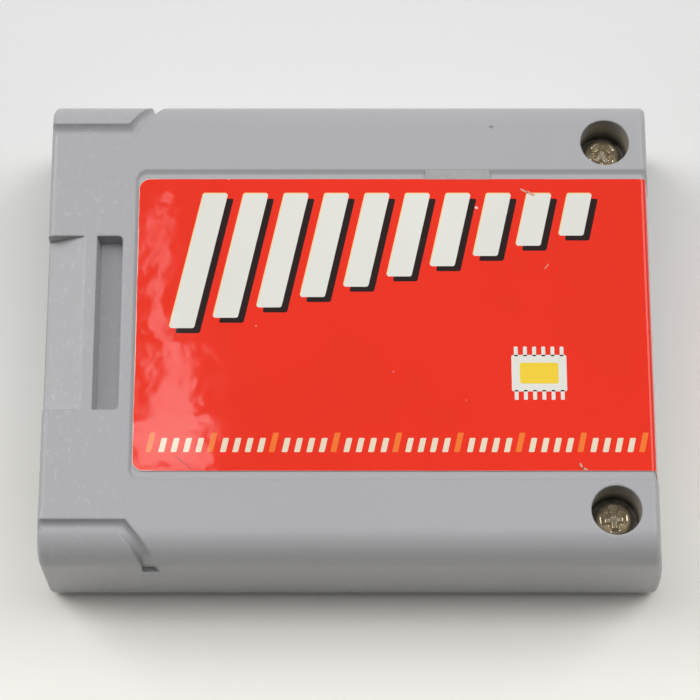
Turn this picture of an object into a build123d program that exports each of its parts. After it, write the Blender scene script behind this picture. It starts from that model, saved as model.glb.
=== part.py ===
from build123d import *
import os
from math import asin, degrees

# A memory card that plugs into the rear slot of a game controller, in millimetres.
# +Z comes out of the label face. -X is the connector end that enters the slot.
# +X is the outer end, where the label wraps over the edge.
# The origin is the middle of the underside.

# Case, outside
case_length = 67.6
case_width = 53.6
case_height = 16.0
seam_height = 2.9
end_bulge = 1.2
long_edge_radius = 3.45
rear_edge_radius = 2.0
slot_end_radius = 0.7
outer_end_radius = 0.7

# Case, inside
side_wall = 2.0
end_wall = 2.0
roof_wall = 1.8
floor_wall = 1.8
inner_edge_radius = 1.6
lip_wall = 0.9
lip_height = 1.2
lip_clearance = 0.1

# Label and the shallow recess that takes it
label_start = 9.95
label_width = 34.0
label_thickness = 0.15
label_corner_radius = 1.2
label_wrap = 8.5
label_bend_radius = 0.5
label_margin = 1.0
label_slot_margin = 0.3
recess_depth = 0.25

# Latch features on the label face, by the connector end
latch_width = 20.2
ramp_length = 4.15
ramp_depth = 1.9
pocket_start = 5.45
pocket_length = 2.85
pocket_depth = 2.3
pocket_slope = 0.35
pocket_corner_radius = 0.5
latch_floor = 1.2
latch_rib = 1.4

# Grooves that set off the two corners of the connector end
groove_inset = 3.15
groove_width = 1.2
groove_run = 8.6
groove_corner_shift = 0.8
groove_slant = 0.8
groove_depth = 0.75
groove_side_depth = 0.45
groove_drop = 5.2

# Connector mouth
mouth_width = 43.0
mouth_roof = 3.7
mouth_corner_radius = 1.0
cheek_length = 8.4

# Screws, wells and posts
screw_from_end = 4.45
screw_from_side = 5.4
well_diameter = 5.45
well_depth = 5.2
well_wall = 1.3
well_floor = 2.6
head_diameter = 4.0
head_height = 2.0
head_edge = 0.4
shank_diameter = 2.2
shank_length = 7.0
hole_clearance = 0.35
pilot_clearance = 0.05
pilot_spare = 0.6
post_diameter = 5.6
cross_length = 2.7
cross_foot_length = 1.7
cross_width = 0.9
cross_foot_width = 0.3
cross_depth = 0.9
cross_turns = (5.0, 40.0)

# Catches near the connector end
catch_from_slot = 15.8
catch_width = 5.0
catch_height = 3.6
catch_nub = 0.6
catch_nub_low = 1.7
catch_nub_height = 1.3
catch_clearance = 0.15

# Circuit board and its seats
board_thickness = 1.2
board_end_clearance = 0.35
board_side_clearance = 1.4
tongue_setback = 4.0
tongue_clearance = 0.9
tongue_bevel = 0.3
shoulder_clearance = 0.2
rib_thickness = 1.6
rib_reach = 1.5
rib_from_slot = 18.8
rib_from_outer = 17.8
rib_clearance = 0.1
peg_diameter = 2.0
peg_post_width = 3.6
peg_clearance = 0.1
peg_from_board_end = 2.8
peg_spacing = 32.0

# Plated contacts on both faces of the tongue
contact_count = 16
contact_pitch = 2.5
contact_width = 1.7
contact_length = 6.0
contact_setback = 0.5
contact_thickness = 0.1

# Chips: body length, width and height, lead span and leads on a side
# Places on the board are from the end of the tongue, then from the middle line
memory_size = (18.0, 8.4, 2.3)
memory_lead_span = 11.8
memory_lead_count = 14
memory_place = (19.8, 9.5)
decoder_size = (8.65, 3.9, 1.5)
decoder_lead_span = 6.0
decoder_lead_count = 7
decoder_place = (37.5, 13.0)
supply_size = (4.9, 3.9, 1.5)
supply_lead_span = 6.0
supply_lead_count = 4
supply_place = (14.3, -9.5)
chip_standoff = 0.1
chip_edge = 0.2
pin_mark_diameter = 0.9
pin_mark_depth = 0.1
pin_mark_sides = 8
lead_thickness = 0.2
lead_width = 0.4
lead_foot = 0.8
lead_pitch = 1.27

# Transistor
transistor_size = (2.9, 1.3, 1.0)
transistor_span = 2.5
transistor_pitch = 1.9
transistor_foot = 0.35
transistor_place = (21.8, -15.0)

# Backup cell with its welded straps
cell_diameter = 20.0
cell_height = 3.2
cell_step = 0.6
cell_step_inset = 1.3
cell_place = (36.8, -8.0)
strap_width = 4.0
strap_thickness = 0.2
strap_gap = 0.6
pin_width = 1.2
pin_length = 1.0
pin_clearance = 0.15
joint_width = 2.3
joint_tip_width = 1.4
joint_height = 0.7
joint_turns = (45.0, 90.0, 135.0)

# Chip parts with metal ends
chip_part_length = 2.0
chip_part_width = 1.25
chip_part_cap = 0.35
chip_part_proud = 0.04
resistor_height = 0.55
capacitor_height = 1.0
resistor_count = 4
resistor_pitch = 3.6
resistor_place = (30.8, 5.6)
memory_capacitor_place = (31.2, 10.0)
decoder_capacitor_place = (44.6, 12.4)
supply_capacitor_place = (9.6, -14.5)
diode_length = 3.5
diode_diameter = 1.4
diode_count = 2
diode_pitch = 4.0
diode_place = (21.3, -9.0)

# Places worked out from the sizes above
slot_x = -case_length / 2
outer_x = case_length / 2
inner_half_width = case_width / 2 - side_wall
bulge_rise = case_height - seam_height
bulge_radius = (bulge_rise ** 2 + end_bulge ** 2) / (2 * end_bulge)
cheek_end = slot_x + end_wall + cheek_length
rim = side_wall + lip_clearance + lip_wall
mouth_height = case_height - mouth_roof - floor_wall
screw_x = outer_x - end_bulge - screw_from_end
screw_y = case_width / 2 - screw_from_side
well_bottom = case_height - well_depth
boss_bottom = well_bottom - well_floor
board_height = floor_wall + (mouth_height - board_thickness) / 2
board_top = board_height + board_thickness
board_slot_x = slot_x + tongue_setback
board_outer_x = screw_x - well_diameter / 2 - well_wall - board_end_clearance
board_width = case_width - 2 * (rim + board_side_clearance)
tongue_width = mouth_width - 2 * tongue_clearance
rib_middles = (slot_x + rib_from_slot, outer_x - rib_from_outer)
peg_x = board_outer_x - peg_from_board_end
rib_inner_y = board_width / 2 - rib_reach
cell_x = board_slot_x + cell_place[0]
cell_y = cell_place[1]
cell_bottom = board_top + strap_thickness
cell_top = cell_bottom + cell_height
spare = 2.0


# Helpers
def slab(x_range, y_range, z_range):
    ranges = (x_range, y_range, z_range)
    size = [high - low for low, high in ranges]
    middle = [(low + high) / 2 for low, high in ranges]
    return Pos(*middle) * Box(*size)


def both_sides(shape):
    return [shape, mirror(shape, Plane.XZ)]


def upright(radius, place, low, high):
    return Pos(place[0], place[1], (low + high) / 2) * Cylinder(radius, high - low)


def tapered_bar(width, foot_width, depth):
    """Bar along X, from the origin's level down, narrower at its foot."""
    profile = Polygon(
        (-width / 2, 0),
        (width / 2, 0),
        (foot_width / 2, -depth),
        (-foot_width / 2, -depth),
        align=None,
    )
    return extrude(Plane.YZ * profile, amount=width + spare, both=True)


# Case outline
def side_profile(inset, drop):
    """The case seen from its side, moved in by inset at both ends and by drop at the label face."""
    radius = bulge_radius - inset
    rise = degrees(asin((bulge_rise - drop) / radius))
    bulge = JernArc((outer_x - inset, seam_height), (0, 1), radius, rise)
    rest = Polyline(
        bulge @ 1,
        (slot_x + inset, case_height - drop),
        (slot_x + inset, 0),
        (outer_x - inset, 0),
        (outer_x - inset, seam_height),
    )
    return make_face(bulge.edges() + rest.edges())


def side_prism(inset, drop, bend_radius=0):
    profile = side_profile(inset, drop)
    if bend_radius > 0:
        top_corner = profile.vertices().group_by(Axis.Y)[-1].sort_by(Axis.X)[-1]
        profile = fillet(top_corner, bend_radius)
    return extrude(Plane.XZ * profile, amount=case_width, both=True)


def cross_section(inset, drop, edge_radius):
    """The case seen from its end, moved in by inset at the sides and by drop at the label face."""
    outline = Rectangle(case_width - 2 * inset, case_height - drop, align=(Align.CENTER, Align.MIN))
    return fillet(outline.vertices().group_by(Axis.Y)[-1], edge_radius)


def cross_prism(section):
    return extrude(Plane.YZ * section, amount=case_length, both=True)


def case_envelope():
    section = cross_section(0, 0, long_edge_radius)
    section = fillet(section.vertices().group_by(Axis.Y)[0], rear_edge_radius)
    body = cross_prism(section) & side_prism(0, 0)
    slot_loop = body.faces().sort_by(Axis.X)[0].edges()
    body = fillet(slot_loop, slot_end_radius)
    end_faces = body.faces().sort_by(Axis.X)[-2:]
    end_edges = end_faces[0].edges() + end_faces[1].edges()
    outer_loop = [edge for edge in end_edges if abs(edge.center().Z - seam_height) > lip_clearance]
    return fillet(outer_loop, outer_end_radius)


# Label and recess
def label_block(start, half_width, low):
    """Plan of the label or its recess, rounded at the slot side and at the foot of the wrap."""
    length = outer_x + spare - start
    plan = Pos(start + length / 2, 0) * Rectangle(length, 2 * half_width)
    plan = fillet(plan.vertices().group_by(Axis.X)[0], label_corner_radius)
    block = Pos(0, 0, low) * extrude(plan, amount=case_height + spare - low)
    height = case_height + spare - low
    front = Pos(0, low + height / 2) * Rectangle(2 * half_width, height)
    front = fillet(front.vertices().group_by(Axis.Y)[0], label_corner_radius)
    return block & extrude(Plane.YZ * front, amount=case_length, both=True)


def label_recess():
    start = slot_x + label_start - label_slot_margin
    half_width = label_width / 2 + label_margin
    low = case_height - label_wrap - label_margin
    return label_block(start, half_width, low) - side_prism(recess_depth, recess_depth, label_bend_radius)


def label():
    block = label_block(slot_x + label_start, label_width / 2, case_height - label_wrap)
    lift = recess_depth - label_thickness
    outside = side_prism(lift, lift, label_bend_radius + label_thickness)
    return (block & outside) - side_prism(recess_depth, recess_depth, label_bend_radius)


# Front shell
def latch_cut():
    half = latch_width / 2
    slope = ramp_depth / ramp_length
    ramp = Polygon(
        (slot_x - spare, case_height + spare),
        (slot_x - spare, case_height - ramp_depth - spare * slope),
        (slot_x + ramp_length, case_height),
        (slot_x + ramp_length, case_height + spare),
        align=None,
    )
    ramp_cut = extrude(Plane.XZ * ramp, amount=half, both=True)
    pocket_low = slot_x + pocket_start
    pocket_high = pocket_low + pocket_length
    plan = Pos((pocket_low + pocket_high) / 2, 0) * Rectangle(pocket_length, latch_width)
    plan = fillet(plan.vertices().group_by(Axis.X)[-1], pocket_corner_radius)
    pocket_cut = Pos(0, 0, case_height - pocket_depth) * extrude(plan, amount=pocket_depth + spare)
    slope_wedge = Polygon(
        (pocket_low, case_height),
        (pocket_low, case_height - pocket_depth),
        (pocket_low + pocket_slope, case_height - pocket_depth),
        align=None,
    )
    pocket_cut -= extrude(Plane.XZ * slope_wedge, amount=half, both=True)
    return [ramp_cut, pocket_cut]


def corner_groove():
    """Groove that sets off the +Y corner of the connector end, over the long edge and down the side."""
    main_edge = case_width / 2 - groove_inset - groove_width
    strip_edge = case_width / 2 - groove_inset
    strip_corner = slot_x + groove_run
    main_corner = strip_corner + groove_corner_shift
    main_out = groove_inset + groove_width + spare
    strip_out = groove_inset + spare
    main_far = (main_corner + groove_slant * main_out, main_edge + main_out)
    strip_far = (strip_corner + groove_slant * strip_out, strip_edge + strip_out)
    band = Polygon(
        (slot_x - spare, main_edge),
        (main_corner, main_edge),
        main_far,
        strip_far,
        (strip_corner, strip_edge),
        (slot_x - spare, strip_edge),
        align=None,
    )
    groove = Pos(0, 0, case_height - groove_drop) * extrude(band, amount=groove_drop + spare)
    floor_radius = long_edge_radius - groove_side_depth
    return groove - cross_prism(cross_section(groove_side_depth, groove_depth, floor_radius))


def connector_mouth():
    mouth = Pos(0, floor_wall + mouth_height / 2) * Rectangle(mouth_width, mouth_height)
    mouth = fillet(mouth.vertices().group_by(Axis.Y)[-1], mouth_corner_radius)
    depth = end_wall + lip_clearance + lip_wall
    return Pos(slot_x - spare, 0, 0) * extrude(Plane.YZ * mouth, amount=depth + spare)


def screw_well():
    place = (screw_x, screw_y)
    well = upright(well_diameter / 2, place, well_bottom, case_height + spare)
    hole = upright(shank_diameter / 2 + hole_clearance, place, boss_bottom - spare, well_bottom + spare)
    return well + hole


def catch_limits(room):
    low = slot_x + catch_from_slot - room
    return (low, low + catch_width + 2 * room)


def catch_pocket():
    low = seam_height + catch_nub_low - catch_clearance
    high = seam_height + catch_nub_low + catch_nub_height + catch_clearance
    depth = catch_nub + catch_clearance - lip_clearance
    side = (inner_half_width - spare / 2, inner_half_width + depth)
    return slab(catch_limits(catch_clearance), side, (low, high))


def board_rib(middle, y_range, z_range):
    return slab((middle - rib_thickness / 2, middle + rib_thickness / 2), y_range, z_range)


def front_cavity():
    """Space inside the front shell, less its bosses, ribs, guide cheeks and latch block."""
    inside = cross_prism(cross_section(side_wall, roof_wall, inner_edge_radius))
    inside &= side_prism(end_wall, roof_wall)
    inside = split(inside, Plane.XY.offset(seam_height), keep=Keep.TOP)
    latch_half = latch_width / 2 + latch_rib
    latch_end = slot_x + pocket_start + pocket_length + latch_rib
    latch_low = case_height - pocket_depth - latch_floor
    inside -= slab((slot_x, latch_end), (-latch_half, latch_half), (latch_low, case_height))
    cheek = slab((slot_x, cheek_end), (mouth_width / 2, case_width / 2), (0, case_height))
    boss = upright(well_diameter / 2 + well_wall, (screw_x, screw_y), boss_bottom, case_height)
    inside -= both_sides(cheek) + both_sides(boss)
    for middle in rib_middles:
        rib = board_rib(middle, (rib_inner_y, case_width / 2), (board_top + rib_clearance, case_height))
        inside -= both_sides(rib)
    return inside


def front_shell():
    shell = split(case_envelope(), Plane.XY.offset(seam_height), keep=Keep.TOP)
    shell -= label_recess()
    shell -= both_sides(corner_groove())
    shell -= latch_cut()
    shell -= front_cavity()
    shell -= connector_mouth()
    shell -= both_sides(screw_well())
    shell -= both_sides(catch_pocket())
    return shell


# Rear shell
def rear_lip():
    """Raised step that fits inside the front shell, on three sides."""
    outer_half = inner_half_width - lip_clearance
    outer_end = outer_x - end_wall - lip_clearance
    start = cheek_end + lip_clearance
    top = (seam_height - lip_height, seam_height + lip_height)
    ring = slab((start, outer_end), (-outer_half, outer_half), top)
    inner_half = outer_half - lip_wall
    return ring - slab((start - spare, outer_end - lip_wall), (-inner_half, inner_half), (0, case_height))


def catch():
    face = inner_half_width - lip_clearance
    low = seam_height + catch_nub_low
    tab = slab(catch_limits(0), (face - lip_wall, face), (seam_height, seam_height + catch_height))
    hook = Polygon((face, low), (face + catch_nub, low), (face, low + catch_nub_height), align=None)
    x_low, x_high = catch_limits(0)
    return tab + Pos(x_low, 0, 0) * extrude(Plane.YZ * hook, amount=x_high - x_low)


def screw_post():
    place = (screw_x, screw_y)
    post = upright(post_diameter / 2, place, floor_wall / 2, boss_bottom)
    pilot_low = well_bottom - shank_length - pilot_spare
    return post - upright(shank_diameter / 2 + pilot_clearance, place, pilot_low, boss_bottom + spare)


def board_peg():
    place = (peg_x, peg_spacing / 2)
    x_range, y_range = [(middle - peg_post_width / 2, middle + peg_post_width / 2) for middle in place]
    post = slab(x_range, y_range, (floor_wall / 2, board_height))
    return post + upright(peg_diameter / 2, place, floor_wall, board_top - peg_clearance)


def rear_shell():
    shell = split(case_envelope(), Plane.XY.offset(seam_height), keep=Keep.BOTTOM)
    half_width = case_width / 2 - rim
    x_range = (slot_x + rim, outer_x - rim)
    shell -= slab(x_range, (-half_width, half_width), (floor_wall, case_height))
    shell -= connector_mouth()
    shell += rear_lip()
    for middle in rib_middles:
        ledge = board_rib(middle, (rib_inner_y, half_width), (floor_wall / 2, board_height))
        shell += both_sides(ledge)
    shell += both_sides(catch()) + both_sides(screw_post()) + both_sides(board_peg())
    return shell


def case_screws():
    crown = Pos(0, 0, head_height / 2) * Cylinder(head_diameter / 2, head_height)
    crown = chamfer(crown.edges().group_by(Axis.Z)[-1], head_edge)
    arm = tapered_bar(cross_width, cross_foot_width, cross_depth)
    arm &= Rot(0, 0, 90) * tapered_bar(cross_length, cross_foot_length, cross_depth)
    crown -= [Pos(0, 0, head_height) * Rot(0, 0, turn) * arm for turn in (0, 90)]
    screw = crown + Pos(0, 0, -shank_length / 2) * Cylinder(shank_diameter / 2, shank_length)
    seats = [Pos(screw_x, side * screw_y, well_bottom) for side in (-1, 1)]
    return Compound([seat * Rot(0, 0, turn) * screw.solid() for seat, turn in zip(seats, cross_turns)])


# Circuit board
def strap_pins():
    """Plan centres of the two strap pins: the positive one first, then the negative one."""
    reach = cell_diameter / 2 + strap_gap + strap_thickness / 2
    return [(cell_x, cell_y - reach), (cell_x, cell_y + reach)]


def circuit_board():
    shoulder = cheek_end + shoulder_clearance
    middle = (shoulder + board_outer_x) / 2
    plan = Pos(middle, 0) * Rectangle(board_outer_x - shoulder, board_width)
    plan += Pos((board_slot_x + middle) / 2, 0) * Rectangle(middle - board_slot_x, tongue_width)
    board = Pos(0, 0, board_height) * extrude(plan, amount=board_thickness)
    tongue_end = board.faces().sort_by(Axis.X)[0]
    board = chamfer(tongue_end.edges().filter_by(Axis.Y), tongue_bevel)
    for side in (-1, 1):
        place = (peg_x, side * peg_spacing / 2)
        board -= upright(peg_diameter / 2 + peg_clearance, place, 0, case_height)
    for x, y in strap_pins():
        slot = (pin_width + 2 * pin_clearance, strap_thickness + 2 * pin_clearance, case_height)
        board -= Pos(x, y, board_height) * Box(*slot)
    return board


def contacts(low):
    start = board_slot_x + contact_setback
    first = -contact_pitch * (contact_count - 1) / 2
    pad = slab((start, start + contact_length), (-contact_width / 2, contact_width / 2),
               (low, low + contact_thickness))
    return Compound([Pos(0, first + contact_pitch * row, 0) * pad.solid() for row in range(contact_count)])


def on_board(place, level=0):
    return Pos(board_slot_x + place[0], place[1], board_top + level)


# Chips
def chip_body(size, place):
    body = on_board(place, chip_standoff + size[2] / 2) * Box(*size)
    return chamfer(body.edges().group_by(Axis.Z)[-1], chip_edge)


def marked_chip(size, place):
    """Chip body with the dimple that marks its first lead."""
    length, width, height = size
    mark = (pin_mark_diameter - length / 2, pin_mark_diameter - width / 2)
    dimple = extrude(RegularPolygon(pin_mark_diameter / 2, pin_mark_sides), amount=pin_mark_depth, both=True)
    return chip_body(size, place) - on_board(place, chip_standoff + height) * Pos(*mark) * dimple


def bent_lead(body_half, span, exit_height, foot):
    """One formed lead on the +Y side of a body, with its foot on the board."""
    knee = span / 2 - foot
    top = exit_height + lead_thickness / 2
    profile = Polygon(
        (body_half, top),
        (knee + lead_thickness, top),
        (knee + lead_thickness, lead_thickness),
        (span / 2, lead_thickness),
        (span / 2, 0),
        (knee, 0),
        (knee, top - lead_thickness),
        (body_half, top - lead_thickness),
        align=None,
    )
    return extrude(Plane.YZ * profile, amount=lead_width / 2, both=True)


def chip_leads(size, span, count, place):
    lead = bent_lead(size[1] / 2, span, chip_standoff + size[2] / 2, lead_foot).solid()
    first = -lead_pitch * (count - 1) / 2
    rows = []
    for turn in (0, 180):
        for step in range(count):
            rows.append(on_board(place) * Rot(0, 0, turn) * Pos(first + lead_pitch * step, 0, 0) * lead)
    return Compound(rows)


def transistor_leads():
    length, width, height = transistor_size
    exit_height = chip_standoff + height / 2
    lead = bent_lead(width / 2, transistor_span, exit_height, transistor_foot).solid()
    at = on_board(transistor_place)
    pair = [at * Pos(side * transistor_pitch / 2, 0, 0) * lead for side in (-1, 1)]
    return Compound(pair + [at * Rot(0, 0, 180) * lead])


# Backup cell
def coin_cell():
    place = (cell_x, cell_y)
    can = upright(cell_diameter / 2, place, cell_bottom + cell_step, cell_top)
    return can + upright(cell_diameter / 2 - cell_step_inset, place, cell_bottom, cell_top)


def battery_strap(pin, level):
    """Strap at one level over or under the cell, bent down to a pin through the board."""
    x, y = pin
    outward = 1 if y > cell_y else -1
    edge = y + outward * strap_thickness / 2
    y_range = sorted((cell_y, edge))
    half = strap_width / 2
    drop = sorted((edge, edge - outward * strap_thickness))
    strap = slab((x - half, x + half), y_range, (level, level + strap_thickness))
    strap += slab((x - half, x + half), drop, (board_top, level + strap_thickness))
    pin_range = (board_height - pin_length, board_top + strap_thickness)
    return strap + slab((x - pin_width / 2, x + pin_width / 2), drop, pin_range)


def battery_solder_joints():
    bar = tapered_bar(joint_width, joint_tip_width, joint_height)
    joint = bar - Box(pin_width, strap_thickness, case_height)
    for turn in joint_turns:
        joint &= Rot(0, 0, turn) * bar
    return Compound([Pos(x, y, board_height) * joint.solid() for x, y in strap_pins()])


# Chip parts
def chip_part(height, place):
    body = Box(chip_part_length, chip_part_width, height)
    proud = 2 * chip_part_proud
    for side in (-1, 1):
        offset = side * (chip_part_length - chip_part_cap) / 2
        body += Pos(offset, 0, 0) * Box(chip_part_cap, chip_part_width + proud, height + proud)
    return on_board(place, height / 2 + chip_part_proud) * body


def diode(place):
    radius = diode_diameter / 2
    return on_board(place, radius) * Rot(0, 90, 0) * Cylinder(radius, diode_length)


def pieces():
    positive_pin, negative_pin = strap_pins()
    named = {
        "front_shell": front_shell(),
        "rear_shell": rear_shell(),
        "label": label(),
        "case_screws": case_screws(),
        "circuit_board": circuit_board(),
        "upper_contacts": contacts(board_top),
        "lower_contacts": contacts(board_height - contact_thickness),
        "memory_chip": marked_chip(memory_size, memory_place),
        "memory_chip_leads": chip_leads(memory_size, memory_lead_span, memory_lead_count, memory_place),
        "decoder_chip": marked_chip(decoder_size, decoder_place),
        "decoder_chip_leads": chip_leads(decoder_size, decoder_lead_span, decoder_lead_count, decoder_place),
        "supply_chip": marked_chip(supply_size, supply_place),
        "supply_chip_leads": chip_leads(supply_size, supply_lead_span, supply_lead_count, supply_place),
        "transistor": chip_body(transistor_size, transistor_place),
        "transistor_leads": transistor_leads(),
        "coin_cell": coin_cell(),
        "battery_tab_positive": battery_strap(positive_pin, cell_top),
        "battery_tab_negative": battery_strap(negative_pin, board_top),
        "battery_solder_joints": battery_solder_joints(),
    }
    for step in range(resistor_count):
        place = (resistor_place[0] + resistor_pitch * step, resistor_place[1])
        named[f"resistor_{step + 1}"] = chip_part(resistor_height, place)
    capacitor_places = (memory_capacitor_place, decoder_capacitor_place, supply_capacitor_place)
    for number, place in enumerate(capacitor_places, 1):
        named[f"capacitor_{number}"] = chip_part(capacitor_height, place)
    for step in range(diode_count):
        place = (diode_place[0], diode_place[1] + diode_pitch * step)
        named[f"diode_{step + 1}"] = diode(place)
    return named


os.makedirs("parts", exist_ok=True)
for name, shape in pieces().items():
    export_step(shape, f"parts/{name}.step")
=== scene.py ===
import math

import bmesh
import bpy
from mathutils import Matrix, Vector


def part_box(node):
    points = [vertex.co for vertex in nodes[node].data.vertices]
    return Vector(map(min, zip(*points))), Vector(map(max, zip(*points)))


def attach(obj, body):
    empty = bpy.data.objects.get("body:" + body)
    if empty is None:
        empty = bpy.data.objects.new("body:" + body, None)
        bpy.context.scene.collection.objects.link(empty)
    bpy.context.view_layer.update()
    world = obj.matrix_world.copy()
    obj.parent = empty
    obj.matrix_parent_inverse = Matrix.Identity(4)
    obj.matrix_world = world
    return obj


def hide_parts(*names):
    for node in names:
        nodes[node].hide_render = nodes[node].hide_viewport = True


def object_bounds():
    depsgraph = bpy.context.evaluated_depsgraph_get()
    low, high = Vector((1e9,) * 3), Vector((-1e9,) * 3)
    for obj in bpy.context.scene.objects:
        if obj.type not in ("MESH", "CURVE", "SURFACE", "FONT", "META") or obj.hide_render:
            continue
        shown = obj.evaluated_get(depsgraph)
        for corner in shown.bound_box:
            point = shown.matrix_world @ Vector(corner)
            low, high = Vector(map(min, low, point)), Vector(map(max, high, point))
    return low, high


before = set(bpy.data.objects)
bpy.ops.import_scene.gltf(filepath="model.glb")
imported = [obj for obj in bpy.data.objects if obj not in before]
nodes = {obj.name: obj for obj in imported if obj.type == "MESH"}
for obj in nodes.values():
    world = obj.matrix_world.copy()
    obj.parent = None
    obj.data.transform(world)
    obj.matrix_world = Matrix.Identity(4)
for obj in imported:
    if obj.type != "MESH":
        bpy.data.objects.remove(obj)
cad_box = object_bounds()

# Units and places taken from the frame
MM = 0.001
case_low, case_high = cad_box
label_low, label_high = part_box("label")
label_top = label_high.z
label_half_width = label_high.y
screw_low, screw_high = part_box("case_screws")

# Camera
camera_elevation = math.radians(70.5)
camera_distance = 300.9 * MM
camera_aim = Vector((-0.38 * MM, -3.27 * MM, case_high.z))
camera_lens = 141.9
camera_clip_start = 10 * MM
sensor_width = 36.0

# Light, as in a white tent that is open and dark towards the viewer
room_white = (1.0, 1.0, 1.0, 1.0)
room_near = 0.082
room_far = 0.34
room_turn = (-0.6, 0.2)
side_place = Vector((0.62, 0.31, 0.72))
side_size = (0.55, 0.55)
left_radiance = 4.0
right_radiance = 3.2
roof_place = Vector((0.0, 0.085, 0.95))
roof_size = (0.8, 0.3)
roof_radiance = 3.9
glare_height = 0.95
glare_radiance = 4.4

# Glare on the label, as the part of its face that mirrors each panel, in millimetres, and its strength
glare_fields = (
    ((-22.5, -3.0), (-20.5, 13.5), 0.75),
    ((-21.7, -11.0), (-17.2, -3.0), 0.9),
    ((-23.6, -17.4), (-15.6, -11.0), 1.0),
)

# Floor, with painted light that makes it brighter and warmer towards the viewer, over the shadow in front
# of the case
floor_half = 3.0
floor_far = (0.77, 0.77, 0.765)
floor_near_painted_light = (0.96, 0.945, 0.89)
floor_painted_light_turn = (0.03, -0.03)
floor_rough = 0.7
floor_ior = 1.3

# Colours, linear
shell_grey = (0.412, 0.412, 0.424)
shell_fleck = (0.53, 0.53, 0.54)
shell_speck = (0.22, 0.21, 0.20)
well_grime = (0.47, 0.42, 0.33)
# Near-black painted shade deep in the screw wells, round the heads
well_painted_shade = (0.05, 0.04, 0.03)
label_red = (0.88, 0.031, 0.011)
label_paper = (0.80, 0.60, 0.55)
label_scuff = (0.74, 0.36, 0.27)
# Darker red for the painted shade along a crease in the label
painted_crease_shade = (0.50, 0.012, 0.004)
print_white = (0.80, 0.80, 0.74)
print_cream = (0.93, 0.72, 0.36)
print_pale = (0.86, 0.74, 0.56)
print_shadow = (0.022, 0.010, 0.010)
print_orange = (0.95, 0.20, 0.035)
print_yellow = (0.93, 0.66, 0.05)
tape_grey = (0.415, 0.415, 0.41)
screw_brass = (0.80, 0.68, 0.48)
board_green = (0.02, 0.16, 0.05)
contact_gold = (0.85, 0.60, 0.20)
chip_black = (0.018, 0.018, 0.02)
tin_grey = (0.66, 0.66, 0.65)
cell_grey = (0.68, 0.68, 0.67)
solder_grey = (0.62, 0.63, 0.64)
resistor_black = (0.03, 0.03, 0.034)
capacitor_tan = (0.36, 0.24, 0.13)
diode_orange = (0.5, 0.12, 0.04)

# Bands of noise that are spread over the whole range of a finish
noise_band = (0.3, 0.7)
narrow_band = (0.35, 0.65)

# Finish of the case
shell_tones = (0.985, 1.015)
shell_tone_scale = 35
shell_rough = (0.34, 0.44)
shell_rough_scale = 900
shell_ior = 1.5
shell_edge_radius = 0.42 * MM
grain_scale = 3400
grain_strength = 0.30
grain_height = 0.03 * MM
fleck_stretch = (2100, 1200, 2100)
fleck_band = (0.58, 0.74)
fleck_shares = (0.08, 0.60)
fleck_limit = -21 * MM
fleck_fade = 9 * MM
speck_scale = 420
speck_band = (0.80, 0.83)
# Patches that break up both the grime and the painted shade in the wells
grime_and_shade_scale = 700
grime_and_shade_shares = (0.5, 1.0)
grime_depth = (0.0, 1.5 * MM)
# Depths under the open face over which the painted shade deep in the wells comes in
painted_shade_depth = (2.6 * MM, 4.7 * MM)

# Finish of the label
film_dark = 0.95
film_tone_scale = 45
film_rough = (0.03, 0.06)
film_rough_scale = 260
film_ior = 1.45
film_speck_scale = 620
film_speck_band = (0.795, 0.81)
paper_widths = (0.07 * MM, 0.0105 * MM)
paper_limit = 2.5 * MM
paper_scale = 400
paper_shares = (0.3, 1.7)
ripple_scale = 170
ripple_height = 0.03 * MM
ripple_shares = (0.10, 1.0)
ripple_limit = -11 * MM
ripple_fade = 4 * MM

# Finish of the metal and of the plain pieces
metal_dark = 0.55
metal_bump = 0.35
metal_bump_height = 0.06 * MM
metal_edge_radius = 0.16 * MM
plain_dark = 0.85
plain_bump = 0.2
plain_bump_height = 0.02 * MM

# Screw heads and their wells
head_radius = 2.0 * MM
head_height = 2.0 * MM
shank_radius = 1.1 * MM
shank_length = 7.0 * MM
dome_height = 0.9 * MM
cross_half_length = (0.8 * MM, 1.65 * MM)
cross_half_width = (0.2 * MM, 0.75 * MM)
cross_depth = 0.62 * MM
cross_turns = {-1: math.radians(5), 1: math.radians(40)}
dome_rings = 36
dome_spokes = 96
well_radius = 2.75 * MM
screw_x = (screw_low.x + screw_high.x) / 2
screw_y = screw_high.y - head_radius

# Label print, in millimetres on the label face
bar_slant = 0.22
bar_corner = 0.25
bar_count = 10
bar_pitch = 4.5
bar_start = -18.4
bar_width = 2.7
bar_top = 15.2
bar_feet = (-0.7, 10.2)
fringe_shift = (-0.09, 0.13)
shadow_shift = (0.64, -0.58)
tick_count = 41
tick_pitch = 1.33
tick_start = -22.2
tick_width = 0.62
tick_range = (-14.9, -13.3)
tall_tick_range = (-14.9, -12.7)
tick_corner = 0.12
tall_tick_step = 5
chip_middle = (20.2, -5.9)
chip_half = (3.0, 2.1)
chip_border = 0.9
chip_pin_width = 0.42
chip_pin_reach = 0.96
chip_pin_sunk = 0.16
chip_pin_count = 6
print_layer = 0.006

# Wear on the label and painted shade along a crease, in millimetres, as strokes from one end to the other
# with a width
scuff_strokes = (
    ((18.67, 15.74), (19.35, 15.36), 0.20),
    ((19.45, 15.40), (20.02, 15.05), 0.28),
    ((24.40, -16.25), (24.62, -16.72), 0.22),
    ((24.62, -16.72), (25.05, -16.85), 0.20),
    ((21.50, 6.78), (21.12, 6.30), 0.10),
)
crease_strokes = (((-19.15, -15.40), (-17.35, -16.85), 0.12),)
stroke_rounding = 0.45
tape_x = (8.0, 15.2)
tape_y = (16.95, 18.04)
tape_thickness = 0.02

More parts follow.
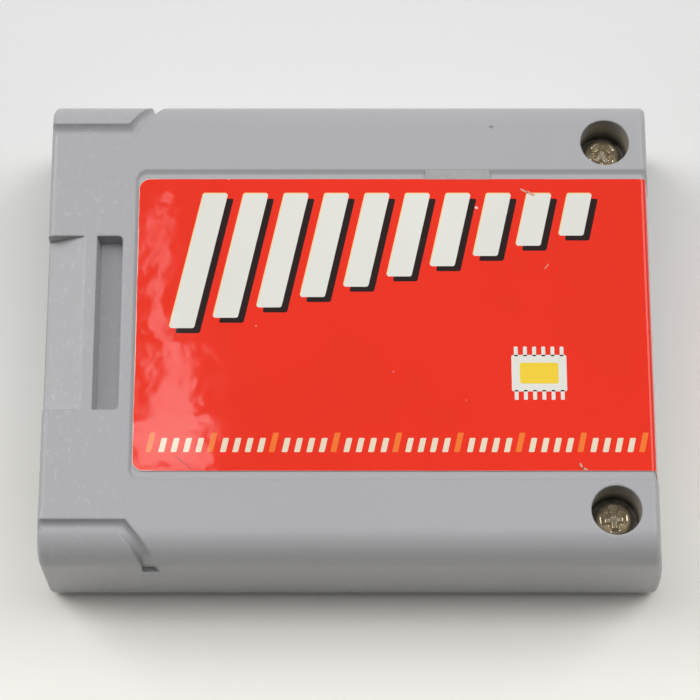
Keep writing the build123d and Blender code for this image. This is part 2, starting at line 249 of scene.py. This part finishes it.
# Rounded edges and bulged outer end of the case
long_edge_radius = 3.45 * MM
slot_end_radius = 0.7 * MM
outer_end_radius = 0.7 * MM
seam_height = 2.9 * MM
end_bulge = 1.2 * MM
bulge_rise = case_high.z - seam_height
bulge_radius = (bulge_rise ** 2 + end_bulge ** 2) / (2 * end_bulge)
bulge_x = case_high.x - bulge_radius
bend_z = case_high.z - outer_end_radius
bend_foot = math.asin((bend_z - seam_height) / (bulge_radius - outer_end_radius))
bend_x = bulge_x + (bulge_radius - outer_end_radius) * math.cos(bend_foot)
bend_end = bend_x + (math.pi / 2 - bend_foot) * outer_end_radius

# Label and the soft walls of its recess, by runs along the label face and on over the outer end
label_corner = 1.2 * MM
cove_steps = 8
recess_depth = 0.25 * MM
recess_margin = 1.0 * MM
recess_slot_margin = 0.3 * MM
recess_start = label_low.x - recess_slot_margin
recess_half_width = label_half_width + recess_margin
recess_cove_width = 0.5 * MM
slot_cove_width = 0.28 * MM
recess_cove_slope = 0.5

# Soft walls of the corner grooves, where they face the viewer
groove_edges = {-1: 22.45 * MM, 1: 23.65 * MM}
groove_corners = {-1: case_low.x + 9.4 * MM, 1: case_low.x + 8.6 * MM}
groove_slant = 0.8
groove_depth = 0.75 * MM
groove_side_depth = 0.45 * MM
groove_drop = 5.2 * MM
groove_start_shares = (0.1, 0.4, 1.0)
groove_cove_width = 0.95 * MM
groove_cove_taper = 0.25
groove_cove_slopes = {-1: 2.2, 1: 1.3}

# Node helpers
range_sockets = ("From Min", "From Max", "To Min", "To Max")


class Graph:
    """Short calls that add nodes to a material and join them."""

    def __init__(self, name):
        self.material = bpy.data.materials.new(name)
        self.material.use_nodes = True
        self.tree = self.material.node_tree
        self.shader = self.tree.nodes["Principled BSDF"]
        self.place = self.add("ShaderNodeTexCoord").outputs["Object"]

    def add(self, kind, **values):
        node = self.tree.nodes.new(kind)
        for key, value in values.items():
            setattr(node, key, value)
        return node

    def link(self, source, target):
        self.tree.links.new(source, target)

    def stretched(self, scales):
        node = self.add("ShaderNodeMapping")
        node.inputs["Scale"].default_value = scales
        self.link(self.place, node.inputs["Vector"])
        return node.outputs["Vector"]

    def along(self, axis):
        node = self.add("ShaderNodeSeparateXYZ")
        self.link(self.place, node.inputs["Vector"])
        return node.outputs[axis]

    def noise(self, scale, detail=2.0, roughness=0.5, place=None):
        node = self.add("ShaderNodeTexNoise")
        node.inputs["Scale"].default_value = scale
        node.inputs["Detail"].default_value = detail
        node.inputs["Roughness"].default_value = roughness
        self.link(place or self.place, node.inputs["Vector"])
        return node.outputs["Fac"]

    def steps(self, value, low, high, out_low=0.0, out_high=1.0):
        node = self.add("ShaderNodeMapRange")
        for key, number in zip(range_sockets, (low, high, out_low, out_high)):
            node.inputs[key].default_value = number
        self.link(value, node.inputs["Value"])
        return node.outputs["Result"]

    def math(self, operation, *values):
        node = self.add("ShaderNodeMath", operation=operation)
        for socket, value in zip(node.inputs, values):
            if isinstance(value, (int, float)):
                socket.default_value = value
            else:
                self.link(value, socket)
        return node.outputs["Value"]

    def length(self, first, second):
        squares = [self.math("POWER", part, 2.0) for part in (first, second)]
        return self.math("SQRT", self.math("ADD", *squares))

    def mix(self, factor, first, second):
        node = self.add("ShaderNodeMix", data_type="RGBA")
        self.link(factor, node.inputs["Factor"])
        for key, value in (("A", first), ("B", second)):
            socket = next(s for s in node.inputs if s.name == key and s.type == "RGBA")
            if isinstance(value, tuple):
                socket.default_value = (*value, 1.0)
            else:
                self.link(value, socket)
        return next(s for s in node.outputs if s.type == "RGBA")

    def soft_edges(self, radius):
        node = self.add("ShaderNodeBevel", samples=8)
        node.inputs["Radius"].default_value = radius
        return node.outputs["Normal"]

    def bump(self, height, strength, distance, normal=None):
        node = self.add("ShaderNodeBump")
        node.inputs["Distance"].default_value = distance
        if isinstance(strength, (int, float)):
            node.inputs["Strength"].default_value = strength
        else:
            self.link(strength, node.inputs["Strength"])
        self.link(height, node.inputs["Height"])
        if normal is not None:
            self.link(normal, node.inputs["Normal"])
        return node.outputs["Normal"]

    def set(self, **values):
        for key, value in values.items():
            socket = self.shader.inputs[key.replace("_", " ")]
            if isinstance(value, tuple):
                socket.default_value = (*value, 1.0)
            elif isinstance(value, (int, float)):
                socket.default_value = value
            else:
                self.link(value, socket)
        return self.material


def shade(colour, factor):
    return tuple(factor * c for c in colour)


# Materials
def inside_wells(graph):
    """1 within the radius of the two screw wells."""
    from_axis_x = graph.math("SUBTRACT", graph.along("X"), screw_x)
    from_axis_y = graph.math("SUBTRACT", graph.math("ABSOLUTE", graph.along("Y")), screw_y)
    return graph.math("LESS_THAN", graph.length(from_axis_x, from_axis_y), well_radius)


def below_face(graph, depths):
    """0 above the first depth under the open face and 1 below the second."""
    return graph.steps(graph.along("Z"), case_high.z - depths[0], case_high.z - depths[1])


def moulded_plastic(name, colour, edge_radius):
    """Grey moulding with a fine grain, pale flecks by the latch, dark specks, grime near the top of the
    wells and near-black painted shade deep in them.
    """
    graph = Graph(name)
    tone = graph.steps(graph.noise(shell_tone_scale, 3), *noise_band)
    base = graph.mix(tone, shade(colour, shell_tones[0]), shade(colour, shell_tones[1]))
    fleck = graph.steps(graph.noise(1.0, 2, 0.6, graph.stretched(fleck_stretch)), *fleck_band)
    near_latch = graph.steps(graph.along("X"), fleck_limit, fleck_limit - fleck_fade, *fleck_shares)
    base = graph.mix(graph.math("MULTIPLY", fleck, near_latch), base, shell_fleck)
    speck = graph.steps(graph.noise(speck_scale, 1), *speck_band)
    base = graph.mix(speck, base, shell_speck)
    patch = graph.steps(graph.noise(grime_and_shade_scale, 3), *narrow_band, *grime_and_shade_shares)
    wells = inside_wells(graph)
    # A grime tint near the top of each well, then painted shade deep down round the screw head
    for colour_there, depths in ((well_grime, grime_depth), (well_painted_shade, painted_shade_depth)):
        layer = graph.math("MULTIPLY", wells, below_face(graph, depths))
        base = graph.mix(graph.math("MULTIPLY", layer, patch), base, colour_there)
    grain = graph.noise(grain_scale, 3, 0.6)
    normal = graph.bump(grain, grain_strength, grain_height, graph.soft_edges(edge_radius))
    rough = graph.steps(graph.noise(shell_rough_scale, 2), *noise_band, *shell_rough)
    return graph.set(Base_Color=base, Roughness=rough, Normal=normal, IOR=shell_ior)


def rim_distance(graph):
    """Distance from the edge of the label, round its slot-side corners too."""
    from_corner = graph.math("SUBTRACT", label_low.x + label_corner, graph.along("X"))
    across = graph.math("ABSOLUTE", graph.along("Y"))
    from_side = graph.math("SUBTRACT", across, label_half_width - label_corner)
    past = [graph.math("MAXIMUM", part, 0.0) for part in (from_corner, from_side)]
    return graph.math("SUBTRACT", label_corner, graph.length(*past))


def gloss_film(name, colour, paper=None):
    """Print under a gloss that ripples towards the slot side, with specks and a rim of paper if given."""
    graph = Graph(name)
    tone = graph.steps(graph.noise(film_tone_scale, 3), *narrow_band)
    base = graph.mix(tone, shade(colour, film_dark), colour)
    if paper is not None:
        speck = graph.steps(graph.noise(film_speck_scale, 1), *film_speck_band)
        base = graph.mix(speck, base, paper)
        rim_end = label_low.x + paper_limit
        reach = graph.steps(graph.along("X"), label_low.x, rim_end, *paper_widths)
        uneven = graph.steps(graph.noise(paper_scale, 3), *noise_band, *paper_shares)
        worn = graph.math("MULTIPLY", reach, uneven)
        base = graph.mix(graph.math("LESS_THAN", rim_distance(graph), worn), base, paper)
    ripple = graph.steps(graph.along("X"), ripple_limit, ripple_limit - ripple_fade, *ripple_shares)
    waves = graph.bump(graph.noise(ripple_scale, 3, 0.45), ripple, ripple_height)
    rough = graph.steps(graph.noise(film_rough_scale, 3), *noise_band, *film_rough)
    return graph.set(Base_Color=base, Roughness=rough, Normal=waves, IOR=film_ior)


def bare_metal(name, colour, rough, scale, metallic=1.0):
    graph = Graph(name)
    tone = graph.steps(graph.noise(scale, 4), *noise_band)
    base = graph.mix(tone, shade(colour, metal_dark), colour)
    polish = graph.steps(graph.noise(2 * scale, 3), *noise_band, *rough)
    edges = graph.soft_edges(metal_edge_radius)
    normal = graph.bump(graph.noise(2 * scale, 3), metal_bump, metal_bump_height, edges)
    return graph.set(Base_Color=base, Roughness=polish, Normal=normal, Metallic=metallic)


def plain_finish(name, colour, rough, scale):
    graph = Graph(name)
    tone = graph.steps(graph.noise(scale, 3), *noise_band)
    base = graph.mix(tone, shade(colour, plain_dark), colour)
    polish = graph.steps(graph.noise(2 * scale, 3), *noise_band, *rough)
    normal = graph.bump(graph.noise(4 * scale, 2), plain_bump, plain_bump_height)
    return graph.set(Base_Color=base, Roughness=polish, Normal=normal)


def dress(names, material):
    for name in names:
        nodes[name].data.materials.clear()
        nodes[name].data.materials.append(material)


def numbered(stem, count):
    return [f"{stem}_{number}" for number in range(1, count + 1)]


dress(["front_shell", "rear_shell"], moulded_plastic("moulded_plastic", shell_grey, shell_edge_radius))
dress(["circuit_board"], plain_finish("solder_mask", board_green, rough=(0.25, 0.4), scale=500))
dress(["upper_contacts", "lower_contacts"],
      bare_metal("gold_plating", contact_gold, rough=(0.2, 0.35), scale=700))
dress(["memory_chip", "decoder_chip", "supply_chip", "transistor"],
      plain_finish("chip_resin", chip_black, rough=(0.45, 0.65), scale=1500))
dress(["memory_chip_leads", "decoder_chip_leads", "supply_chip_leads", "transistor_leads",
       "battery_tab_positive", "battery_tab_negative"],
      bare_metal("tinned_metal", tin_grey, rough=(0.25, 0.45), scale=900))
dress(["coin_cell"], bare_metal("cell_steel", cell_grey, rough=(0.25, 0.4), scale=400))
dress(["battery_solder_joints"], bare_metal("solder", solder_grey, rough=(0.2, 0.35), scale=900))
dress(numbered("resistor", 4),
      plain_finish("resistor_body", resistor_black, rough=(0.4, 0.6), scale=1500))
dress(numbered("capacitor", 3),
      plain_finish("capacitor_body", capacitor_tan, rough=(0.4, 0.6), scale=1500))
dress(numbered("diode", 2), plain_finish("diode_glass", diode_orange, rough=(0.1, 0.2), scale=900))


# Label print
def rounded_outline(corners, radius, steps=4):
    """Closed outline through the corners with each corner rounded by a short curve."""
    outline = []
    count = len(corners)
    for index in range(count):
        corner = Vector(corners[index])
        before = (Vector(corners[index - 1]) - corner).normalized() * radius
        after = (Vector(corners[(index + 1) % count]) - corner).normalized() * radius
        for step in range(steps + 1):
            t = step / steps
            outline.append(corner + before * (1 - t) ** 2 + after * t ** 2)
    return outline


def slanted_bar(left, right, low, high, corner, shift=(0.0, 0.0)):
    lean = bar_slant * (high - low) / 2
    corners = [(left - lean, low), (right - lean, low), (right + lean, high), (left + lean, high)]
    return rounded_outline([(x + shift[0], y + shift[1]) for x, y in corners], corner)


def level_bars(shift=(0.0, 0.0)):
    """Row of slanted bars with one level top whose feet rise along the row."""
    outlines = []
    for index in range(bar_count):
        rise = index / (bar_count - 1)
        foot = bar_feet[0] + (bar_feet[1] - bar_feet[0]) * rise
        lean = bar_slant * (foot - bar_feet[0]) / 2
        left = bar_start + bar_pitch * index + lean
        outlines.append(slanted_bar(left, left + bar_width, foot, bar_top, bar_corner, shift))
    return outlines


def scale_ticks(tall):
    """The tall or the short ones in a row of slanted ticks along the foot of the label."""
    outlines = []
    low, high = tall_tick_range if tall else tick_range
    for index in range(tick_count):
        if (index % tall_tick_step == 0) == tall:
            left = tick_start + tick_pitch * index
            outlines.append(slanted_bar(left, left + tick_width, low, high, tick_corner))
    return outlines


def plate(middle, half, corner):
    x, y = middle
    w, h = half
    return rounded_outline([(x - w, y - h), (x + w, y - h), (x + w, y + h), (x - w, y + h)], corner)


def chip_pins():
    """Pins above and below the small picture of a chip, each sunk a little into its edge."""
    outlines = []
    pitch = 2 * chip_half[0] / chip_pin_count
    pin_half = (chip_pin_width / 2, (chip_pin_reach + chip_pin_sunk) / 2)
    for side in (-1, 1):
        for index in range(chip_pin_count):
            x = chip_middle[0] - chip_half[0] + pitch * (index + 0.5)
            y = chip_middle[1] + side * (chip_half[1] + (chip_pin_reach - chip_pin_sunk) / 2)
            outlines.append(plate((x, y), pin_half, tick_corner))
    return outlines


def stroke(start, end, width):
    """Long thin mark with rounded ends."""
    start, end = Vector(start), Vector(end)
    along = (end - start).normalized() * width / 2
    across = Vector((-along.y, along.x))
    corners = [start - along - across, end + along - across,
               end + along + across, start - along + across]
    return rounded_outline(corners, width * stroke_rounding)


def add_piece(name, work, material):
    """Turns the worked mesh into a piece of the part."""
    mesh = bpy.data.meshes.new(name)
    bmesh.ops.recalc_face_normals(work, faces=work.faces)
    work.to_mesh(mesh)
    work.free()
    piece = bpy.data.objects.new(name, mesh)
    bpy.context.scene.collection.objects.link(piece)
    piece.data.materials.append(material)
    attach(piece, "root")
    return piece


def print_piece(name, outlines, layer, material):
    """Thin closed prisms on the label face, one for each outline."""
    work = bmesh.new()
    top = label_top + layer * print_layer * MM
    for outline in outlines:
        upper = [work.verts.new((p.x * MM, p.y * MM, top)) for p in outline]
        lower = [work.verts.new((p.x * MM, p.y * MM, label_top)) for p in outline]
        work.faces.new(upper)
        work.faces.new(lower[::-1])
        for index in range(len(outline)):
            work.faces.new((upper[index - 1], lower[index - 1], lower[index], upper[index]))
    add_piece(name, work, material)


def tape_scrap():
    """Scrap of tape that bridges from the label to the case over the edge of the recess."""
    work = bmesh.new()
    levels = (label_top, case_high.z)
    rows = []
    for lift in (0.0, tape_thickness * MM):
        for x in tape_x:
            rows.append([work.verts.new((x * MM, y * MM, z + lift)) for y, z in zip(tape_y, levels)])
    low_left, low_right, high_left, high_right = rows
    work.faces.new((*low_left, *low_right[::-1]))
    work.faces.new((*high_left, *high_right[::-1]))
    work.faces.new((*low_left, *high_left[::-1]))
    work.faces.new((*low_right, *high_right[::-1]))
    for index in (0, 1):
        work.faces.new((low_left[index], low_right[index], high_right[index], high_left[index]))
    tape = plain_finish("clear_tape", tape_grey, rough=(0.3, 0.5), scale=900)
    add_piece("label_tape_scrap", work, tape)


print_piece("label_print_shadow", level_bars(shadow_shift), 1, gloss_film("print_shadow", print_shadow))
print_piece("label_print_fringe", level_bars(fringe_shift), 2, gloss_film("print_cream", print_cream))
print_piece("label_print_bars", level_bars(), 3, gloss_film("print_white", print_white))
print_piece("label_print_ticks", scale_ticks(False), 1, gloss_film("print_pale", print_pale))
print_piece("label_print_orange", scale_ticks(True), 1, gloss_film("print_orange", print_orange))
core_half = (chip_half[0] - chip_border, chip_half[1] - chip_border)
print_piece("label_print_chip", [plate(chip_middle, chip_half, bar_corner)] + chip_pins(), 1,
            gloss_film("print_chip", print_white))
print_piece("label_print_core", [plate(chip_middle, core_half, bar_corner)], 2,
            gloss_film("print_yellow", print_yellow))
print_piece("label_scuffs", [stroke(*mark) for mark in scuff_strokes], 4,
            plain_finish("scuffed_film", label_scuff, rough=(0.4, 0.6), scale=3000))
# Painted shade along a crease in the label
print_piece("painted_crease_shade", [stroke(*mark) for mark in crease_strokes], 1,
            gloss_film("painted_crease_shade", painted_crease_shade))
tape_scrap()

# Label sheet and soft walls
cove_plastic = moulded_plastic("cove_plastic", shell_grey, 0.0)


def soften(work):
    """Keeps an edge sharp unless all the faces at it are smooth."""
    for edge in work.edges:
        edge.smooth = all(face.smooth for face in edge.link_faces)


def add_cove(name, tops, heels, feet, slope, closed):
    """Strip that eases a wall, from its tops and heels, into the floor out to its feet."""
    work = bmesh.new()
    sections = []
    for top, heel, foot in zip(tops, heels, feet):
        section = [work.verts.new(heel)]
        start = slope * (foot - heel).length / (top - heel).length
        for step in range(cove_steps + 1):
            t = step / cove_steps
            fall = start * t * (1 - t) ** 2 + t * t * (3 - 2 * t)
            section.append(work.verts.new(heel + (top - heel) * (1 - fall) + (foot - heel) * t))
        sections.append(section)
    if closed:
        sections.append(sections[0])
    else:
        work.faces.new(sections[0])
        work.faces.new(sections[-1][::-1])
    for first, second in zip(sections, sections[1:]):
        for index in range(len(first)):
            face = work.faces.new((first[index - 1], first[index], second[index], second[index - 1]))
            face.smooth = index > 1
    soften(work)
    add_piece(name, work, cove_plastic)


def on_case(run, y, depth):
    """Place at a run along the label face and over the outer end, at a depth below the surface."""
    if run < bend_x:
        return Vector((run, y, case_high.z - depth))
    if run < bend_end:
        angle = (run - bend_x) / outer_end_radius
        reach = outer_end_radius - depth
        return Vector((bend_x + reach * math.sin(angle), y, bend_z + reach * math.cos(angle)))
    angle = bend_foot - (run - bend_end) / bulge_radius
    reach = bulge_radius - depth
    return Vector((bulge_x + reach * math.cos(angle), y, seam_height + reach * math.sin(angle)))


def spaced(first, last):
    """Even steps from the first value up to, but without, the last."""
    return [first + (last - first) * step / cove_steps for step in range(cove_steps)]


def run_to(height):
    """Run over the outer end at which the surface has come down to a height."""
    angle = math.asin((height - seam_height) / bulge_radius)
    return bend_end + (bend_foot - angle) * bulge_radius


def wrapped_half(start, end, half_width, inset=0.0, slot_inset=0.0):
    """Runs and widths of the +Y half of a rounded outline, moved in by the insets."""
    along = spaced(start + label_corner, bend_x)
    along += spaced(bend_x, bend_end)
    along += spaced(bend_end, end - label_corner)
    turns = spaced(0.0, math.pi / 2) + [math.pi / 2]
    middle = half_width - label_corner
    wide = label_corner - inset
    slot_wide = label_corner - slot_inset
    slot = [(start + label_corner - slot_wide * math.sin(a), middle + wide * math.cos(a)) for a in turns]
    foot = [(end - label_corner + wide * math.sin(a), middle + wide * math.cos(a)) for a in turns]
    return slot[::-1] + [(run, middle + wide) for run in along[1:]] + foot


def label_sheet():
    """The label as one thin sheet that wraps over the outer end, with its corners rounded."""
    work = bmesh.new()
    label_depth = case_high.z - label_top
    corners = ((1, label_depth), (-1, label_depth), (-1, recess_depth), (1, recess_depth))
    outline = wrapped_half(label_low.x, run_to(label_low.z), label_half_width)
    rows = []
    for run, y in outline:
        rows.append([work.verts.new(on_case(run, side * y, depth)) for side, depth in corners])
    for (run, _), first, second in zip(outline, rows, rows[1:]):
        for index in range(len(corners)):
            face = work.faces.new((first[index - 1], first[index], second[index], second[index - 1]))
            face.smooth = index in (1, 3) and run >= bend_x
    work.faces.new(rows[0])
    work.faces.new(rows[-1][::-1])
    soften(work)
    film = gloss_film("label_film", label_red, paper=label_paper)
    piece = add_piece("label_sheet", work, film)
    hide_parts("label")


def recess_loop(inset, slot_inset):
    """Runs and widths all round the recess, moved in from its edge by the insets."""
    end = run_to(label_low.z - recess_margin)
    half = wrapped_half(recess_start, end, recess_half_width, inset, slot_inset)
    return half + [(run, -y) for run, y in half[::-1]]


def recess_cove():
    """Soft wall all round the label recess."""
    edge = recess_loop(0.0, 0.0)
    tops = [on_case(run, y, 0.0) for run, y in edge]
    heels = [on_case(run, y, recess_depth) for run, y in edge]
    feet = [on_case(run, y, recess_depth) for run, y in recess_loop(recess_cove_width, slot_cove_width)]
    add_cove("recess_cove", tops, heels, feet, recess_cove_slope, True)


def fallen(reach, radius):
    """How far a rounded edge has fallen at a reach past the start of its rounding."""
    past = min(max(reach, 0.0), radius)
    return radius - math.sqrt(radius ** 2 - past ** 2)


def groove_cove(name, side):
    """Soft wall of one groove: along the corner strip, round its corner and down over the long edge."""
    edge, corner = groove_edges[side], groove_corners[side]
    edge_start = case_high.y - long_edge_radius
    floor_radius = long_edge_radius - groove_side_depth
    slant_length = math.hypot(1.0, groove_slant)
    tops, heels, feet = [], [], []

    def add_section(x, y, top_y, top_z, heel_z, shift, share=1.0):
        along = groove_slant * (top_y - y)
        tops.append(Vector((x + along, side * top_y, top_z)))
        heels.append(Vector((x, side * y, heel_z)))
        feet.append(heels[-1] + Vector((shift[0], side * shift[1], 0.0)) * groove_cove_width * share)

    top_z = case_high.z - fallen(edge - edge_start, long_edge_radius)
    heel_z = case_high.z - groove_depth - fallen(edge - edge_start, floor_radius)
    for share in groove_start_shares:
        start_x = case_low.x + share * slot_end_radius
        start_z = top_z - fallen((1 - share) * slot_end_radius, slot_end_radius)
        add_section(start_x, edge, edge, start_z, heel_z, (0.0, -side))
    turn = side * (slant_length - groove_slant)
    add_section(corner, edge, edge, top_z, heel_z, (turn, -side))
    first_angle = math.asin(max(edge - edge_start, 0.0) / floor_radius)
    for step in range(1, cove_steps + 1):
        angle = first_angle + (math.pi / 2 - first_angle) * step / cove_steps
        y = edge_start + floor_radius * math.sin(angle)
        top_y = edge_start + long_edge_radius * math.sin(angle)
        heel_z = case_high.z - groove_depth - floor_radius * (1 - math.cos(angle))
        top_z = case_high.z - long_edge_radius * (1 - math.cos(angle))
        share = 1 + (groove_cove_taper - 1) * step / cove_steps
        x = corner + groove_slant * (y - edge)
        add_section(x, y, top_y, top_z, heel_z, (side * slant_length, 0.0), share)
    floor_z = case_high.z - groove_drop
    add_section(x, y, top_y, floor_z, floor_z, (side * slant_length, 0.0), share)
    add_cove(name, tops, heels, feet, groove_cove_slopes[side], False)


label_sheet()
recess_cove()
groove_cove("near_groove_cove", -1)
groove_cove("far_groove_cove", 1)


# Screws
def cross_recess(x, y):
    """Depth share of the worn cross recess at a place on the head, from 0 to 1."""
    def fall(value, limits):
        t = min(max((abs(value) - limits[0]) / (limits[1] - limits[0]), 0.0), 1.0)
        return 1 - t * t * (3 - 2 * t)
    arms = [fall(a, cross_half_length) * fall(b, cross_half_width) for a, b in ((x, y), (y, x))]
    return max(arms)


def domed_screw(work, side):
    """One screw as rings from the middle of its domed head down to the end of its shank."""
    turn = cross_turns[side]
    middle = Vector((screw_x, side * screw_y, screw_high.z - head_height))
    spokes = [2 * math.pi * k / dome_spokes for k in range(dome_spokes)]

    def ring(radius, height, dished=False):
        verts = []
        for angle in spokes:
            z = height
            if dished:
                x = radius * math.cos(angle - turn)
                y = radius * math.sin(angle - turn)
                z -= cross_depth * cross_recess(x, y)
            spot = Vector((radius * math.cos(angle), radius * math.sin(angle), z))
            verts.append(work.verts.new(middle + spot))
        return verts

    shoulder = head_height - dome_height
    rings = []
    for index in range(1, dome_rings + 1):
        share = math.sin(math.pi / 2 * index / dome_rings)
        rise = dome_height * math.sqrt(max(1 - share ** 2, 0))
        rings.append(ring(head_radius * share, shoulder + rise, True))
    rings += [ring(head_radius, 0), ring(shank_radius, 0), ring(shank_radius, -shank_length)]
    for upper, lower in zip(rings, rings[1:]):
        for index in range(dome_spokes):
            work.faces.new((upper[index - 1], lower[index - 1], lower[index], upper[index]))
    crown = work.verts.new(middle + Vector((0, 0, head_height - cross_depth)))
    foot = work.verts.new(middle + Vector((0, 0, -shank_length)))
    for index in range(dome_spokes):
        work.faces.new((crown, rings[0][index - 1], rings[0][index]))
        work.faces.new((foot, rings[-1][index], rings[-1][index - 1]))


def screws():
    """Both screws as one piece."""
    work = bmesh.new()
    for side in (-1, 1):
        domed_screw(work, side)
    for face in work.faces:
        face.smooth = True
    metal = bare_metal("screw_metal", screw_brass, rough=(0.10, 0.26), scale=1100, metallic=0.8)
    piece = add_piece("domed_screws", work, metal)
    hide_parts("case_screws")


screws()


# Stage
def make_floor():
    mesh = bpy.data.meshes.new("floor")
    corners = [(-floor_half, -floor_half, 0), (floor_half, -floor_half, 0),
               (floor_half, floor_half, 0), (-floor_half, floor_half, 0)]
    mesh.from_pydata(corners, [], [(0, 1, 2, 3)])
    floor = bpy.data.objects.new("floor", mesh)
    bpy.context.scene.collection.objects.link(floor)
    graph = Graph("floor")
    # Painted light: the floor grows brighter and warmer towards the viewer
    tone = graph.mix(graph.steps(graph.along("Y"), *floor_painted_light_turn), floor_far, floor_near_painted_light)
    floor.data.materials.append(graph.set(Base_Color=tone, Roughness=floor_rough, IOR=floor_ior))


def make_room():
    """Soft light from all round, weakest from the viewer's side."""
    world = bpy.data.worlds.new("room")
    bpy.context.scene.world = world
    world.use_nodes = True
    tree = world.node_tree
    direction = tree.nodes.new("ShaderNodeTexCoord").outputs["Generated"]
    split = tree.nodes.new("ShaderNodeSeparateXYZ")
    tree.links.new(direction, split.inputs["Vector"])
    spread = tree.nodes.new("ShaderNodeMapRange")
    for key, number in zip(range_sockets, (*room_turn, room_near, room_far)):
        spread.inputs[key].default_value = number
    tree.links.new(split.outputs["Y"], spread.inputs["Value"])
    background = tree.nodes["Background"]
    background.inputs["Color"].default_value = room_white
    tree.links.new(spread.outputs["Result"], background.inputs["Strength"])


def make_lamp(name, place, size, radiance, lights=True, mirrored=True, level=False):
    data = bpy.data.lights.new(name, "AREA")
    data.shape = "RECTANGLE"
    data.size, data.size_y = size
    data.energy = radiance * math.pi * size[0] * size[1]
    lamp = bpy.data.objects.new(name, data)
    lamp.location = place
    if not level:
        lamp.rotation_euler = (-place).to_track_quat("-Z", "Y").to_euler()
    lamp.visible_diffuse = lights
    lamp.visible_glossy = mirrored
    bpy.context.scene.collection.objects.link(lamp)


camera_back = Vector((0, -math.cos(camera_elevation), math.sin(camera_elevation)))
camera_place = camera_aim + camera_back * camera_distance


def mirrored_place(x, y):
    """Where the sight line that the label mirrors at a spot meets the height of the glare panels."""
    spot = Vector((x * MM, y * MM, label_top))
    sight = spot - camera_place
    reach = (glare_height - label_top) / -sight.z
    return Vector((spot.x + sight.x * reach, spot.y + sight.y * reach, glare_height))


def make_glare():
    """Panels that only show as reflections in the gloss of the label."""
    for number, (low, high, share) in enumerate(glare_fields, 1):
        first, second = mirrored_place(*low), mirrored_place(*high)
        size = (second.x - first.x, second.y - first.y)
        place = (first + second) / 2
        make_lamp(f"glare_{number}", place, size, share * glare_radiance, lights=False, level=True)


def make_camera():
    data = bpy.data.cameras.new("camera")
    data.lens = camera_lens
    data.sensor_width = sensor_width
    data.clip_start = camera_clip_start
    camera = bpy.data.objects.new("camera", data)
    camera.location = camera_place
    camera.rotation_euler = (math.pi / 2 - camera_elevation, 0, 0)
    bpy.context.scene.collection.objects.link(camera)
    bpy.context.scene.camera = camera


make_floor()
make_room()
make_lamp("right_side", side_place, side_size, right_radiance)
make_lamp("left_side", Vector((-side_place.x, side_place.y, side_place.z)), side_size, left_radiance)
make_lamp("roof", roof_place, roof_size, roof_radiance, mirrored=False)
make_glare()
make_camera()
bpy.context.scene.view_settings.view_transform = "Standard"
